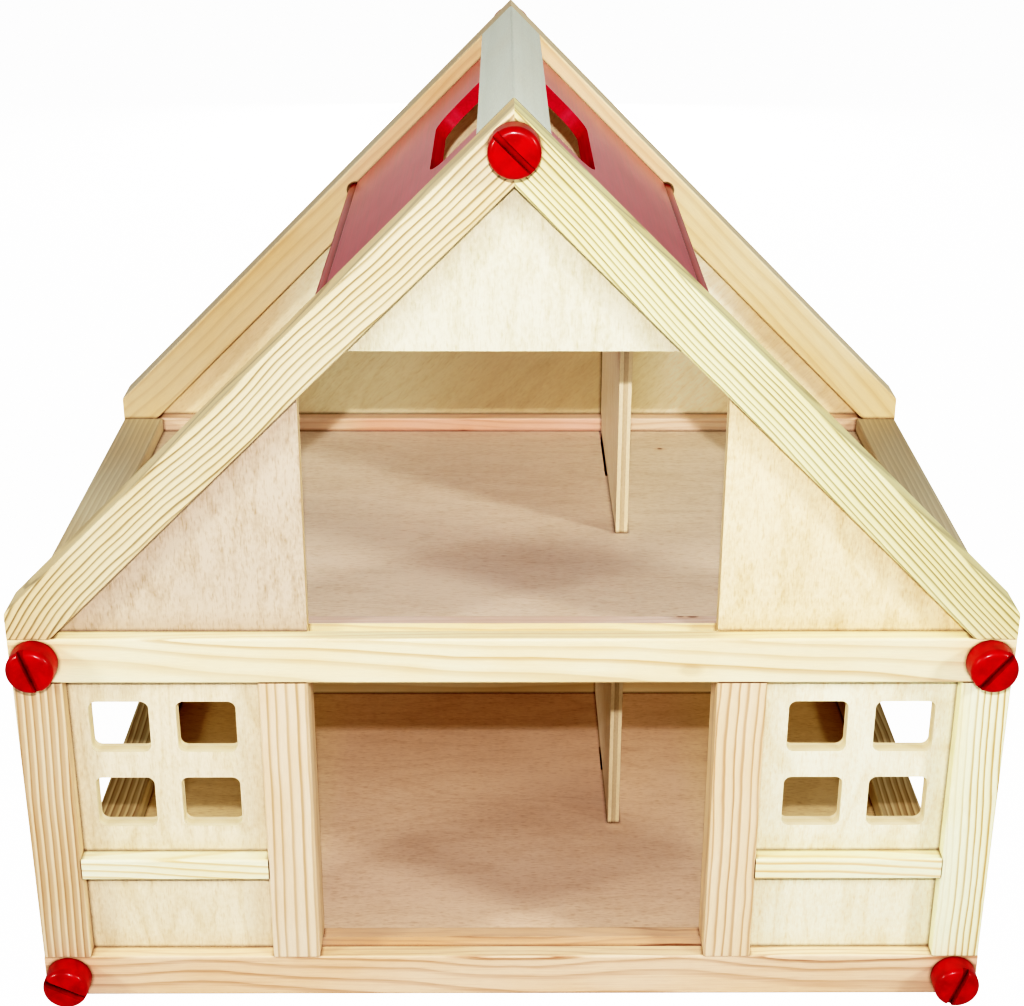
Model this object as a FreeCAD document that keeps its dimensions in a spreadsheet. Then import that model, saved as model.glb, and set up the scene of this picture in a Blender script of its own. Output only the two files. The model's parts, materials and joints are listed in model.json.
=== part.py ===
import FreeCAD, Part
import Sketcher
import math
import os

# Wooden dollhouse, drawn in millimetres. +X is to the right seen from the
# front, +Y goes from the front frame to the rear frame, +Z is up. The origin
# is on the ground, in the middle of the footprint.
#
# Two gable frames of square pine stock stand one behind the other. Five
# lengths of the same stock (ridge, two eaves, two at the base) join them, each
# held by a large slotted screw through the front frame and one through the
# rear frame. Plywood walls and floors sit in grooves. A hinged roof flap
# covers the upper half of each slope.

doc = FreeCAD.newDocument("Dollhouse")
sheet = doc.addObject("Spreadsheet::Sheet", "Dims")

SIZES = [
    ("overall_width", 400.0, "left to right over the posts"),
    ("overall_depth", 256.0, "front face of front frame to back face of rear frame"),
    ("apex_height", 385.0, "top of the roof above the ground"),
    ("stock", 20.0, "side of the square pine stock"),
    ("storey_clear", 134.0, "height between bottom beam and middle beam"),
    ("ply", 6.5, "wall and floor plywood"),
    ("groove_set", 6.75, "groove edge from the face of the stock"),
    ("groove_deep", 5.0, "groove depth"),
    ("tongue", 4.5, "how far a panel enters its groove"),
    ("ground_top", 10.25, "upper face of the ground floor"),
    ("upper_top", 167.0, "upper face of the upper floor"),
    ("door_half", 82.0, "half the door opening"),
    ("pane_inner", 112.6, "inner edge of the inner pane column"),
    ("pane_width", 24.3, "pane width"),
    ("pane_step", 35.4, "pane column pitch"),
    ("pane_low", 82.0, "lower edge of the lower panes"),
    ("pane_tall", 23.6, "pane height"),
    ("pane_rise", 36.0, "pane row pitch"),
    ("pane_round", 3.2, "pane corner radius"),
    ("rail_low", 59.5, "underside of the window rail"),
    ("rail_tall", 10.0, "height of the window rail"),
    ("peak_low", 292.3, "lower edge of the gable peak panel"),
    ("wall_x", 47.5, "left face of the partition"),
    ("wall_thick", 5.5, "partition plywood"),
    ("wall_front", -15.5, "front edge of the partition"),
    ("wall_top", 300.0, "top edge of the partition"),
    ("slot_front", 49.8, "front end of the halving slot in the upper floor"),
    ("slot_left", 46.4, "left side of the partition slots"),
    ("slot_right", 53.2, "right side of the partition slots"),
    ("tab_front", 31.8, "front end of the partition's tab"),
    ("tab_rear", 52.6, "rear end of the partition's tab"),
    ("flap_set", 7.3, "flap face below the outer roof plane"),
    ("flap_thick", 6.0, "flap board"),
    ("flap_top", 20.6, "upper edge of the flap, down the slope from the apex"),
    ("flap_play", 0.8, "gap between the flap and each rafter"),
    ("pivot_down", 117.5, "flap pivot, down the slope from the apex"),
    ("pivot_deep", 9.5, "flap pivot below the outer roof plane"),
    ("quirk_rad", 0.9, "radius of the groove that sets off the pivot dowel"),
    ("quirk_up", 2.9, "that groove up the slope from the pivot"),
    ("dowel_rad", 3.3, "pivot dowel radius"),
    ("dowel_play", 0.07, "running clearance of the dowel in the rafters"),
    ("dowel_in", 8.0, "how far the dowel enters each rafter"),
    ("cup_rad", 4.4, "shallow cup round each dowel hole"),
    ("cup_deep", 1.2, "depth of that cup"),
    ("grip_end", 55.0, "lower edge of the hand notch, down the slope"),
    ("grip_half", 47.0, "half the length of the hand notch"),
    ("grip_round", 12.0, "corner radius of the hand notch"),
    ("stop_wide", 8.0, "flap stop block, down the slope"),
    ("stop_long", 12.0, "flap stop block, front to back"),
    ("stop_thick", 6.0, "flap stop block thickness"),
    ("head_rad", 9.5, "screw head radius"),
    ("head_thick", 10.0, "screw head thickness"),
    ("head_round", 2.6, "screw head edge radius"),
    ("slot_wide", 2.8, "driver slot width"),
    ("slot_deep", 3.0, "driver slot depth"),
    ("shank_rad", 4.0, "screw shank radius"),
    ("shank_long", 42.0, "screw shank length"),
    ("shank_play", 0.06, "radial clearance of the shank"),
    ("edge_round", 1.0, "softened edge of the stock"),
]
for row, (alias, value, note) in enumerate(SIZES, start=1):
    sheet.set("A%d" % row, note)
    sheet.set("B%d" % row, repr(value))
    sheet.setAlias("B%d" % row, alias)
doc.recompute()


class Q:
    """A number together with the sheet expression that gives it."""

    def __init__(self, v, t):
        self.v, self.t = float(v), t

    @staticmethod
    def of(o):
        return o if isinstance(o, Q) else Q(o, "(%.9f)" % o)

    def __add__(self, o):
        o = Q.of(o)
        return Q(self.v + o.v, "(%s + %s)" % (self.t, o.t))

    def __radd__(self, o):
        return Q.of(o) + self

    def __sub__(self, o):
        o = Q.of(o)
        return Q(self.v - o.v, "(%s - %s)" % (self.t, o.t))

    def __rsub__(self, o):
        return Q.of(o) - self

    def __mul__(self, o):
        o = Q.of(o)
        return Q(self.v * o.v, "(%s * %s)" % (self.t, o.t))

    def __rmul__(self, o):
        return Q.of(o) * self

    def __truediv__(self, o):
        o = Q.of(o)
        return Q(self.v / o.v, "(%s / %s)" % (self.t, o.t))

    def __neg__(self):
        return Q(-self.v, "(0 - %s)" % self.t)


D = {alias: Q(value, "Dims.%s" % alias) for alias, value, _ in SIZES}
ROOT2 = math.sqrt(2.0)

stock = D["stock"]
half_w = D["overall_width"] / 2
front_y = -(D["overall_depth"] / 2)
rear_y = D["overall_depth"] / 2
span = D["overall_depth"] - 2 * stock          # length of the joining beams
mid_low = stock + D["storey_clear"]            # underside of the middle beam
mid_top = mid_low + stock
apex = D["apex_height"]
post_in = half_w - stock                       # inner face of an outer post
door_in = D["door_half"]
door_out = door_in + stock
inner_apex = apex - stock * ROOT2
tongue_apex = apex - (stock - D["tongue"]) * ROOT2   # panel edge in the rafters
groove_apex = apex - (stock - D["groove_deep"]) * ROOT2
beyond = 2.0                                   # overshoot of open cuts

parts = []


def keep(obj, label):
    obj.Label = label
    parts.append(obj)
    return obj


def new_body(label):
    body = doc.addObject("PartDesign::Body", "Body_" + label)
    return keep(body, label)


def place(obj, x=None, y=None, z=None, rotation=None):
    base = [Q.of(0) if q is None else Q.of(q) for q in (x, y, z)]
    obj.Placement = FreeCAD.Placement(
        FreeCAD.Vector(base[0].v, base[1].v, base[2].v),
        rotation if rotation is not None else FreeCAD.Rotation())
    for axis, q, given in zip("xyz", base, (x, y, z)):
        if isinstance(given, Q):
            obj.setExpression("Placement.Base.%s" % axis, q.t)


def plane(body, role):
    for feature in body.Origin.OriginFeatures:
        if feature.Role == role:
            return feature
    raise RuntimeError("no plane " + role)


def sketch(body, name, role, offset=None):
    sk = body.newObject("Sketcher::SketchObject", name)
    sk.AttachmentSupport = [(plane(body, role), "")]
    sk.MapMode = "FlatFace"
    if offset is not None:
        q = Q.of(offset)
        sk.AttachmentOffset = FreeCAD.Placement(FreeCAD.Vector(0, 0, q.v), FreeCAD.Rotation())
        sk.setExpression("AttachmentOffset.Base.z", q.t)
    return sk


def dimension(sk, kind, *args):
    q = args[-1]
    index = sk.addConstraint(Sketcher.Constraint(kind, *args[:-1], q.v))
    sk.setExpression("Constraints[%d]" % index, q.t)


def polygon(sk, points):
    pts = [(Q.of(a), Q.of(b)) for a, b in points]
    n = len(pts)
    start = sk.GeometryCount
    for i in range(n):
        a, b = pts[i], pts[(i + 1) % n]
        sk.addGeometry(Part.LineSegment(FreeCAD.Vector(a[0].v, a[1].v, 0),
                                        FreeCAD.Vector(b[0].v, b[1].v, 0)), False)
    for i in range(n):
        sk.addConstraint(Sketcher.Constraint("Coincident", start + i, 2, start + (i + 1) % n, 1))
    for i, (a, b) in enumerate(pts):
        for kind, q in (("DistanceX", a), ("DistanceY", b)):
            if abs(q.v) < 1e-9:
                axis = -2 if kind == "DistanceX" else -1
                sk.addConstraint(Sketcher.Constraint("PointOnObject", start + i, 1, axis))
            else:
                dimension(sk, kind, -1, 1, start + i, 1, q)


def rectangle(sk, x0, x1, y0, y1):
    polygon(sk, [(x0, y0), (x1, y0), (x1, y1), (x0, y1)])


def rounded(sk, x0, x1, y0, y1, r):
    x0, x1, y0, y1, r = (Q.of(q) for q in (x0, x1, y0, y1, r))
    V = FreeCAD.Vector
    s = sk.GeometryCount
    line = Part.LineSegment
    up = V(0, 0, 1)

    def arc(cx, cy, a0):
        circle = Part.Circle(V(cx, cy, 0), up, r.v)
        return Part.ArcOfCircle(circle, math.radians(a0), math.radians(a0 + 90))

    sk.addGeometry(line(V(x0.v + r.v, y0.v, 0), V(x1.v - r.v, y0.v, 0)), False)
    sk.addGeometry(arc(x1.v - r.v, y0.v + r.v, -90), False)
    sk.addGeometry(line(V(x1.v, y0.v + r.v, 0), V(x1.v, y1.v - r.v, 0)), False)
    sk.addGeometry(arc(x1.v - r.v, y1.v - r.v, 0), False)
    sk.addGeometry(line(V(x1.v - r.v, y1.v, 0), V(x0.v + r.v, y1.v, 0)), False)
    sk.addGeometry(arc(x0.v + r.v, y1.v - r.v, 90), False)
    sk.addGeometry(line(V(x0.v, y1.v - r.v, 0), V(x0.v, y0.v + r.v, 0)), False)
    sk.addGeometry(arc(x0.v + r.v, y0.v + r.v, 180), False)
    for i in range(8):
        sk.addConstraint(Sketcher.Constraint("Tangent", s + i, 2, s + (i + 1) % 8, 1))
    for i, kind in ((0, "Horizontal"), (2, "Vertical"), (4, "Horizontal"), (6, "Vertical")):
        sk.addConstraint(Sketcher.Constraint(kind, s + i))
    for i in (3, 5, 7):
        sk.addConstraint(Sketcher.Constraint("Equal", s + 1, s + i))
    dimension(sk, "Radius", s + 1, r)
    dimension(sk, "DistanceY", -1, 1, s + 0, 1, y0)
    dimension(sk, "DistanceX", -1, 1, s + 2, 1, x1)
    dimension(sk, "DistanceY", -1, 1, s + 4, 1, y1)
    dimension(sk, "DistanceX", -1, 1, s + 6, 1, x0)


def circle(sk, x, y, r):
    x, y, r = (Q.of(q) for q in (x, y, r))
    i = sk.addGeometry(Part.Circle(FreeCAD.Vector(x.v, y.v, 0), FreeCAD.Vector(0, 0, 1), r.v), False)
    dimension(sk, "Radius", i, r)
    for kind, q, axis in (("DistanceX", x, -2), ("DistanceY", y, -1)):
        if abs(q.v) < 1e-9:
            sk.addConstraint(Sketcher.Constraint("PointOnObject", i, 3, axis))
        else:
            dimension(sk, kind, -1, 1, i, 3, q)


def pad(body, sk, length, reverse=False):
    feature = body.newObject("PartDesign::Pad", sk.Name + "_pad")
    feature.Profile = sk
    q = Q.of(length)
    feature.Length = q.v
    feature.setExpression("Length", q.t)
    feature.Reversed = reverse
    sk.Visibility = False
    return feature


def pocket(body, sk, length, reverse=False):
    feature = body.newObject("PartDesign::Pocket", sk.Name + "_cut")
    feature.Profile = sk
    q = Q.of(length)
    feature.Length = q.v
    feature.setExpression("Length", q.t)
    feature.Reversed = reverse
    sk.Visibility = False
    return feature


def volume_drop(body, before, what):
    doc.recompute()
    now = body.Shape.Volume
    if not now < before - 1.0:
        raise RuntimeError("%s removed nothing from %s" % (what, body.Label))
    return now


def soften(body, test):
    """Round the edges of the present solid that satisfy test(edge)."""
    doc.recompute()
    tip = body.Tip
    names = ["Edge%d" % (i + 1) for i, e in enumerate(tip.Shape.Edges) if test(e)]
    if not names:
        raise RuntimeError("no edge to soften on " + body.Label)
    feature = body.newObject("PartDesign::Fillet", body.Name + "_edges")
    feature.Base = (tip, names)
    feature.Radius = D["edge_round"].v
    feature.setExpression("Radius", "Dims.edge_round")
    doc.recompute()
    if not feature.Shape.isValid():
        raise RuntimeError("edges of " + body.Label)
    return feature


def straight(edge):
    return edge.Curve.TypeId == "Part::GeomLine"


def along(edge, axis):
    if not straight(edge):
        return False
    a, b = edge.Vertexes[0].Point, edge.Vertexes[-1].Point
    d = (b - a)
    return d.Length > 1e-6 and abs(abs(d.normalize().dot(axis)) - 1) < 1e-6


X, Y, Z = FreeCAD.Vector(1, 0, 0), FreeCAD.Vector(0, 1, 0), FreeCAD.Vector(0, 0, 1)


def frame_bar(label, outline, y, soft, cuts, holes=()):
    """A member of a gable frame: outline in XZ, the stock's depth along +Y.

    cuts are (name, polygon in XZ, start along Y, length along Y); holes are
    (name, x, z, radius, start along Y, length along Y).
    """
    body = new_body(label)
    sk = sketch(body, label + "_outline", "XZ_Plane")
    polygon(sk, outline)
    pad(body, sk, stock, reverse=True)
    soften(body, soft)
    volume = body.Shape.Volume
    for name, points, start, length in cuts:
        sk = sketch(body, label + "_" + name, "XZ_Plane", -Q.of(start))
        polygon(sk, points)
        pocket(body, sk, length)
        volume = volume_drop(body, volume, name)
    for name, x, z, r, start, length in holes:
        sk = sketch(body, label + "_" + name, "XZ_Plane", -Q.of(start))
        circle(sk, x, z, r)
        pocket(body, sk, length)
        volume = volume_drop(body, volume, name)
    place(body, y=y)
    return body


def box_points(x0, x1, z0, z1):
    return [(x0, z0), (x1, z0), (x1, z1), (x0, z1)]


shank_hole = D["shank_rad"] + D["shank_play"]
screw_x = half_w - stock / 2
groove_stop = post_in + D["groove_deep"]
foot_stop = 182.0 * (half_w / 200.0)
ground_low = D["ground_top"] - D["ply"]
upper_low = D["upper_top"] - D["ply"]
eave_z = mid_low + stock / 2
ridge_z = apex - stock / 2 * ROOT2

# ---------------------------------------------------------------- frames
# Each frame is built in its own slice, 0 to 20 mm along Y, and set at the
# front or at the rear. The floor grooves are cut on the side that faces the
# inside of the house.
for end, at_y, inner in (("front", front_y, stock - D["groove_deep"]),
                         ("rear", rear_y - stock, Q.of(-beyond))):
    groove_run = D["groove_deep"] + beyond

    frame_bar(
        end + "_bottom_beam",
        box_points(-half_w, half_w, Q.of(0), stock), at_y,
        lambda e: along(e, X),
        [("wall_groove", box_points(-groove_stop, groove_stop, stock - D["groove_deep"], stock + beyond),
          D["groove_set"], D["ply"]),
         ("floor_groove", box_points(-groove_stop, groove_stop, ground_low, D["ground_top"]),
          inner, groove_run)],
        [("left_screw_hole", -screw_x, stock / 2, shank_hole, -beyond, stock + 2 * beyond),
         ("right_screw_hole", screw_x, stock / 2, shank_hole, -beyond, stock + 2 * beyond)])

    frame_bar(
        end + "_middle_beam",
        box_points(-half_w, half_w, mid_low, mid_top), at_y,
        lambda e: along(e, X),
        [("lower_groove", box_points(-groove_stop, groove_stop, mid_low - beyond, mid_low + D["groove_deep"]),
          D["groove_set"], D["ply"]),
         ("gable_groove", box_points(-foot_stop, foot_stop, mid_top - D["groove_deep"], mid_top + beyond),
          D["groove_set"], D["ply"]),
         ("floor_groove", box_points(-groove_stop, groove_stop, upper_low, D["upper_top"]),
          inner, groove_run)],
        [("left_screw_hole", -screw_x, eave_z, shank_hole, -beyond, stock + 2 * beyond),
         ("right_screw_hole", screw_x, eave_z, shank_hole, -beyond, stock + 2 * beyond)])

    for side, sign in (("left", -1.0), ("right", 1.0)):
        frame_bar(
            "%s_%s_post" % (end, side),
            box_points(sign * half_w, sign * post_in, stock, mid_low), at_y,
            lambda e: along(e, Z),
            [("wall_groove", box_points(sign * (post_in - beyond), sign * groove_stop,
                                        stock - beyond, mid_low + beyond),
              D["groove_set"], D["ply"])])

        tip = apex - half_w
        foot_in = inner_apex - mid_top
        outline = [(sign * half_w, mid_top), (sign * half_w, tip), (Q.of(0), apex),
                   (Q.of(0), inner_apex), (sign * foot_in, mid_top)]
        strip = [(sign * -3.0, groove_apex + 3.0), (sign * -3.0, inner_apex + 3.0 - 4.0),
                 (sign * half_w, inner_apex - 4.0 - half_w), (sign * half_w, groove_apex - half_w)]
        slope = FreeCAD.Vector(sign, 0, -1).normalize()
        pivot_x = sign * (D["pivot_down"] - D["pivot_deep"]) / ROOT2
        pivot_z = apex - (D["pivot_down"] + D["pivot_deep"]) / ROOT2
        if end == "front":
            pin_start, cup_start = stock - D["dowel_in"] - 0.6, stock - D["cup_deep"]
        else:
            pin_start, cup_start = Q.of(-beyond), Q.of(-beyond)
        frame_bar(
            "%s_%s_rafter" % (end, side), outline, at_y,
            lambda e, slope=slope: along(e, slope),
            [("gable_groove", strip, D["groove_set"], D["ply"])],
            [("ridge_screw_hole", Q.of(0), ridge_z, shank_hole, -beyond, stock + 2 * beyond),
             ("pivot_hole", pivot_x, pivot_z, D["dowel_rad"] + D["dowel_play"], pin_start,
              D["dowel_in"] + 0.6 + beyond),
             ("pivot_cup", pivot_x, pivot_z, D["cup_rad"], cup_start, D["cup_deep"] + beyond)])

for side, sign in (("left", -1.0), ("right", 1.0)):
    frame_bar(
        "front_%s_door_post" % side,
        box_points(sign * door_out, sign * door_in, stock, mid_low), front_y,
        lambda e: along(e, Z),
        [("wall_groove", box_points(sign * (door_out + beyond), sign * (door_out - D["groove_deep"]),
                                    stock - beyond, mid_low + beyond),
          D["groove_set"], D["ply"])])

# ---------------------------------------------------- joining beams along Y
beam_hole = D["shank_long"] - stock + 1.0


def long_beam(label, outline, cx, cz, cuts, soft):
    body = new_body(label)
    sk = sketch(body, label + "_outline", "XZ_Plane")
    polygon(sk, outline)
    pad(body, sk, span, reverse=True)
    soften(body, soft)
    volume = body.Shape.Volume
    for name, points in cuts:
        sk = sketch(body, label + "_" + name, "XZ_Plane", Q.of(beyond))
        polygon(sk, points)
        pocket(body, sk, span + 2 * beyond)
        volume = volume_drop(body, volume, name)
    for name, start in (("front_screw_hole", Q.of(-beyond)), ("rear_screw_hole", span - beam_hole)):
        sk = sketch(body, label + "_" + name, "XZ_Plane", -Q.of(start))
        circle(sk, cx, cz, shank_hole)
        pocket(body, sk, beam_hole + beyond)
        volume = volume_drop(body, volume, name)
    place(body, y=front_y + stock)
    return body


for side, sign in (("left", -1.0), ("right", 1.0)):
    long_beam(side + "_base_beam",
              box_points(sign * half_w, sign * post_in, Q.of(0), stock),
              sign * screw_x, stock / 2,
              [("floor_groove", box_points(sign * (post_in - beyond), sign * groove_stop,
                                           ground_low, D["ground_top"]))],
              lambda e: along(e, Y))
    long_beam(side + "_eave_beam",
              box_points(sign * half_w, sign * post_in, mid_low, mid_top),
              sign * screw_x, eave_z,
              [("floor_groove", box_points(sign * (post_in - beyond), sign * groove_stop,
                                           upper_low, D["upper_top"]))],
              lambda e: along(e, Y))

diag = stock / ROOT2
long_beam("ridge_beam",
          [(Q.of(0), apex), (-diag, apex - diag), (Q.of(0), inner_apex), (diag, apex - diag)],
          Q.of(0), ridge_z, [], lambda e: along(e, Y))


# ------------------------------------------------------------ wall panels
def panel(label, outline, y, thick, openings=()):
    body = new_body(label)
    sk = sketch(body, label + "_outline", "XZ_Plane")
    polygon(sk, outline)
    pad(body, sk, thick, reverse=True)
    doc.recompute()
    volume = body.Shape.Volume
    for name, x0, x1, z0, z1 in openings:
        sk = sketch(body, label + "_" + name, "XZ_Plane", Q.of(beyond))
        rounded(sk, x0, x1, z0, z1, D["pane_round"])
        pocket(body, sk, Q.of(thick) + 2 * beyond)
        volume = volume_drop(body, volume, name)
    place(body, y=y)
    return body


front_wall_y = front_y + D["groove_set"]
rear_wall_y = rear_y - stock + D["groove_set"]
t = D["tongue"]

for side, sign in (("left", -1.0), ("right", 1.0)):
    panes = []
    for column in (0, 1):
        a = D["pane_inner"] + D["pane_step"] * float(column)
        b = a + D["pane_width"]
        lo, hi = (a, b) if sign > 0 else (-b, -a)
        for level, row in (("lower", 0), ("upper", 1)):
            low = D["pane_low"] + D["pane_rise"] * float(row)
            panes.append(("%s_pane_%d" % (level, column + 1), lo, hi, low, low + D["pane_tall"]))
    panel(side + "_window_panel",
          box_points(sign * (door_out - t), sign * (post_in + t), stock - t, mid_low + t),
          front_wall_y, D["ply"], panes)

    rail = new_body(side + "_window_rail")
    sk = sketch(rail, side + "_rail_outline", "XZ_Plane")
    rectangle(sk, sign * door_out, sign * post_in, D["rail_low"], D["rail_low"] + D["rail_tall"])
    pad(rail, sk, D["groove_set"], reverse=True)
    soften(rail, lambda e: along(e, X) and max(v.Point.y for v in e.Vertexes) < 1e-6)
    place(rail, y=front_y)

    foot = tongue_apex - (mid_top + 0.3)
    panel(side + "_gable_panel",
          [(sign * door_in, mid_top - t), (sign * (foot_stop - 0.5), mid_top - t),
           (sign * (foot_stop - 0.5), mid_top + 0.3), (sign * foot, mid_top + 0.3),
           (sign * door_in, tongue_apex - door_in)],
          front_wall_y, D["ply"])

peak_half = tongue_apex - D["peak_low"]
panel("gable_peak_panel",
      [(-peak_half, D["peak_low"]), (peak_half, D["peak_low"]), (Q.of(0), tongue_apex)],
      front_wall_y, D["ply"])

panel("rear_wall_panel",
      box_points(-(post_in + t), post_in + t, stock - t, mid_low + t),
      rear_wall_y, D["ply"])

foot = tongue_apex - (mid_top + 0.3)
panel("rear_gable_panel",
      [(-(foot_stop - 0.5), mid_top - t), (foot_stop - 0.5, mid_top - t),
       (foot_stop - 0.5, mid_top + 0.3), (foot, mid_top + 0.3), (Q.of(0), tongue_apex),
       (-foot, mid_top + 0.3), (-(foot_stop - 0.5), mid_top + 0.3)],
      rear_wall_y, D["ply"])

# ------------------------------------------------------------------ floors
floor_y = span / 2 + t
for label, top, slot in (("ground_floor", D["ground_top"], "tab"),
                         ("upper_floor", D["upper_top"], "halving")):
    body = new_body(label)
    sk = sketch(body, label + "_outline", "XY_Plane")
    rectangle(sk, -(post_in + t), post_in + t, -floor_y, floor_y)
    pad(body, sk, D["ply"])
    doc.recompute()
    volume = body.Shape.Volume
    sk = sketch(body, label + "_slot", "XY_Plane", D["ply"] + beyond)
    if slot == "tab":
        rectangle(sk, D["slot_left"] + 0.3, D["slot_right"], D["tab_front"] - 0.4, D["tab_rear"] + 0.4)
    else:
        rectangle(sk, D["slot_left"], D["slot_right"], D["slot_front"], floor_y + beyond)
    pocket(body, sk, D["ply"] + 2 * beyond)
    volume_drop(body, volume, "slot")
    place(body, z=top - D["ply"])

# --------------------------------------------------------------- partition
# One sheet through both storeys. It crosses the upper floor in a halving
# joint: the floor is slotted behind slot_front, the sheet in front of it.
body = new_body("partition_wall")
rear_low = span / 2 - 0.3
rear_high = rear_y - stock + D["groove_set"] - 0.3
gt = D["ground_top"]
sk = sketch(body, "partition_outline", "YZ_Plane")
polygon(sk, [
    (D["wall_front"], gt + 0.1), (D["tab_front"], gt + 0.1),
    (D["tab_front"], gt - D["ply"] + 0.5), (D["tab_rear"], gt - D["ply"] + 0.5),
    (D["tab_rear"], gt + 0.1), (rear_low, gt + 0.1),
    (rear_low, mid_top + 0.3), (rear_high, mid_top + 0.3),
    (rear_high, D["wall_top"]), (D["wall_front"], D["wall_top"]),
    (D["wall_front"], D["upper_top"] + 0.1), (D["slot_front"] - 0.2, D["upper_top"] + 0.1),
    (D["slot_front"] - 0.2, D["upper_top"] - D["ply"] - 0.1),
    (D["wall_front"], D["upper_top"] - D["ply"] - 0.1)])
pad(body, sk, D["wall_thick"])
place(body, x=D["wall_x"])

# -------------------------------------------------------------- roof flaps
# Drawn flat: x down the slope from the apex, y front to back. The left flap's
# z points into the house, the right flap's z points out of it.
for side, sign, turn in (("left", -1.0, 135.0), ("right", 1.0, 45.0)):
    tilt = FreeCAD.Rotation(Y, turn)
    low = D["flap_set"] if sign < 0 else -(D["flap_set"] + D["flap_thick"])
    mid = D["pivot_deep"] if sign < 0 else -D["pivot_deep"]
    edge_y = span / 2 - D["flap_play"]

    body = new_body(side + "_roof_flap")
    sk = sketch(body, side + "_flap_outline", "XY_Plane", low)
    rectangle(sk, D["flap_top"], D["pivot_down"] - 0.5, -edge_y, edge_y)
    pad(body, sk, D["flap_thick"])
    doc.recompute()
    volume = body.Shape.Volume
    sk = sketch(body, side + "_hand_notch", "XY_Plane", low + D["flap_thick"] + beyond)
    rounded(sk, Q.of(-15.0), D["grip_end"], -D["grip_half"], D["grip_half"], D["grip_round"])
    pocket(body, sk, D["flap_thick"] + 2 * beyond)
    volume = volume_drop(body, volume, "hand notch")
    sk = sketch(body, side + "_dowel_seat", "XZ_Plane", edge_y + beyond)
    circle(sk, D["pivot_down"], mid, D["dowel_rad"] + 0.05)
    pocket(body, sk, 2 * edge_y + 2 * beyond)
    volume = volume_drop(body, volume, "dowel seat")
    sk = sketch(body, side + "_dowel_quirk", "XZ_Plane", edge_y + beyond)
    circle(sk, D["pivot_down"] - D["quirk_up"], D["flap_set"] * (-sign), D["quirk_rad"])
    pocket(body, sk, 2 * edge_y + 2 * beyond)
    volume_drop(body, volume, "dowel quirk")
    place(body, z=apex, rotation=tilt)

    dowel = new_body(side + "_flap_dowel")
    half = span / 2 + D["dowel_in"]
    sk = sketch(dowel, side + "_dowel_round", "XZ_Plane", half)
    circle(sk, Q.of(0), Q.of(0), D["dowel_rad"])
    pad(dowel, sk, 2 * half, reverse=True)
    doc.recompute()
    ends = ["Edge%d" % (i + 1) for i, e in enumerate(dowel.Tip.Shape.Edges)
            if e.Curve.TypeId == "Part::GeomCircle"]
    chamfer = dowel.newObject("PartDesign::Chamfer", side + "_dowel_ends")
    chamfer.Base = (dowel.Tip if dowel.Tip != chamfer else dowel.Group[-2], ends)
    chamfer.Size = 0.6
    place(dowel, x=sign * (D["pivot_down"] - D["pivot_deep"]) / ROOT2,
          z=apex - (D["pivot_down"] + D["pivot_deep"]) / ROOT2)

    # small blocks under the upper corners, glued to ridge and rafters
    for end in ("front", "rear"):
        block = doc.addObject("Part::Box", "Box_%s_%s_stop" % (side, end))
        keep(block, "%s_%s_flap_stop" % (side, end))
        for prop, alias in (("Length", "stop_wide"), ("Width", "stop_long"), ("Height", "stop_thick")):
            setattr(block, prop, D[alias].v)
            block.setExpression(prop, D[alias].t)
        deep = D["flap_set"] + D["flap_thick"] + 0.2
        deep = deep if sign < 0 else deep + D["stop_thick"]
        base_y = -(span / 2) if end == "front" else span / 2 - D["stop_long"]
        place(block, x=sign * (stock - deep) / ROOT2, y=base_y,
              z=apex - (stock + deep) / ROOT2, rotation=tilt)

# ------------------------------------------------------------------ screws
# Turned about local z; the head's flat underside is at z = 0.


def screw(label, x, z, rear, angle):
    body = new_body(label)
    sk = sketch(body, label + "_profile", "XZ_Plane")
    polygon(sk, [(Q.of(0), -D["shank_long"]), (D["shank_rad"] - 1.0, -D["shank_long"]),
                 (D["shank_rad"], 1.0 - D["shank_long"]), (D["shank_rad"], Q.of(0)),
                 (D["head_rad"], Q.of(0)), (D["head_rad"], D["head_thick"]),
                 (Q.of(0), D["head_thick"])])
    turn = body.newObject("PartDesign::Revolution", label + "_turned")
    turn.Profile = sk
    turn.ReferenceAxis = (sk, ["V_Axis"])
    turn.Angle = 360.0
    sk.Visibility = False
    doc.recompute()
    names = ["Edge%d" % (i + 1) for i, e in enumerate(turn.Shape.Edges)
             if e.Curve.TypeId == "Part::GeomCircle"
             and abs(e.Curve.Radius - D["head_rad"].v) < 1e-6
             and abs(e.Curve.Center.z - D["head_thick"].v) < 1e-6]
    rim = body.newObject("PartDesign::Fillet", label + "_rim")
    rim.Base = (turn, names)
    rim.Radius = D["head_round"].v
    rim.setExpression("Radius", "Dims.head_round")
    doc.recompute()
    volume = body.Shape.Volume
    sk = sketch(body, label + "_driver_slot", "XY_Plane", D["head_thick"] + 0.5)
    rectangle(sk, -(D["head_rad"] + beyond), D["head_rad"] + beyond,
              -(D["slot_wide"] / 2), D["slot_wide"] / 2)
    pocket(body, sk, D["slot_deep"] + 0.5)
    volume_drop(body, volume, "driver slot")
    a = math.radians(angle)
    xa = FreeCAD.Vector(math.cos(a), 0, math.sin(a))
    za = FreeCAD.Vector(0, 1 if rear else -1, 0)
    ya = za.cross(xa)
    place(body, x=x, y=rear_y if rear else front_y, z=z,
          rotation=FreeCAD.Rotation(xa, ya, za, "ZXY"))
    return body


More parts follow.
